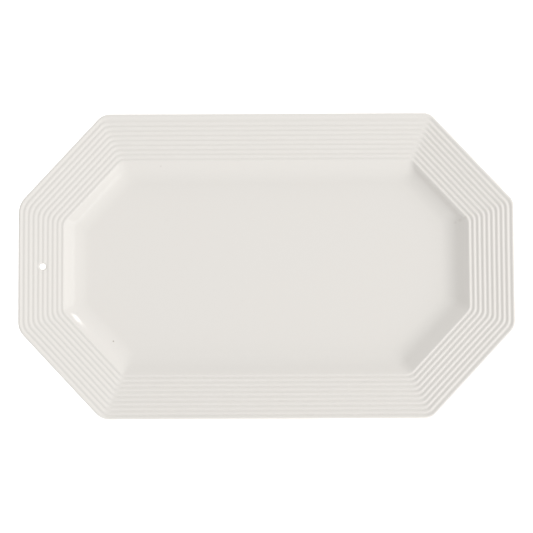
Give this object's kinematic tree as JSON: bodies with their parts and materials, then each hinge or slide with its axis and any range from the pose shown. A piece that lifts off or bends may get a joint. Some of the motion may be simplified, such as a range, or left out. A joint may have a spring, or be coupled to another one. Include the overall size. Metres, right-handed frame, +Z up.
{
  "type": "serving platter",
  "caption": "Eight-sided glazed ceramic serving platter with a ribbed rim, sunken well, foot ring and a small peg hole through one end of the rim.",
  "frame": {"origin": "middle of the foot ring, on the table surface", "axes": "+X along the length, away from the end with the peg hole; +Y across the width; +Z up, out of the well"},
  "size_m": [0.457, 0.2816, 0.0251],
  "materials": {
    "clay_body": "matte",
    "face_glaze": "gloss",
    "base_glaze": "gloss"
  },
  "bodies": {
    "root": {"clay_body": "clay_body", "face_glaze": "face_glaze", "base_glaze": "base_glaze"}
  },
  "joints": []
}
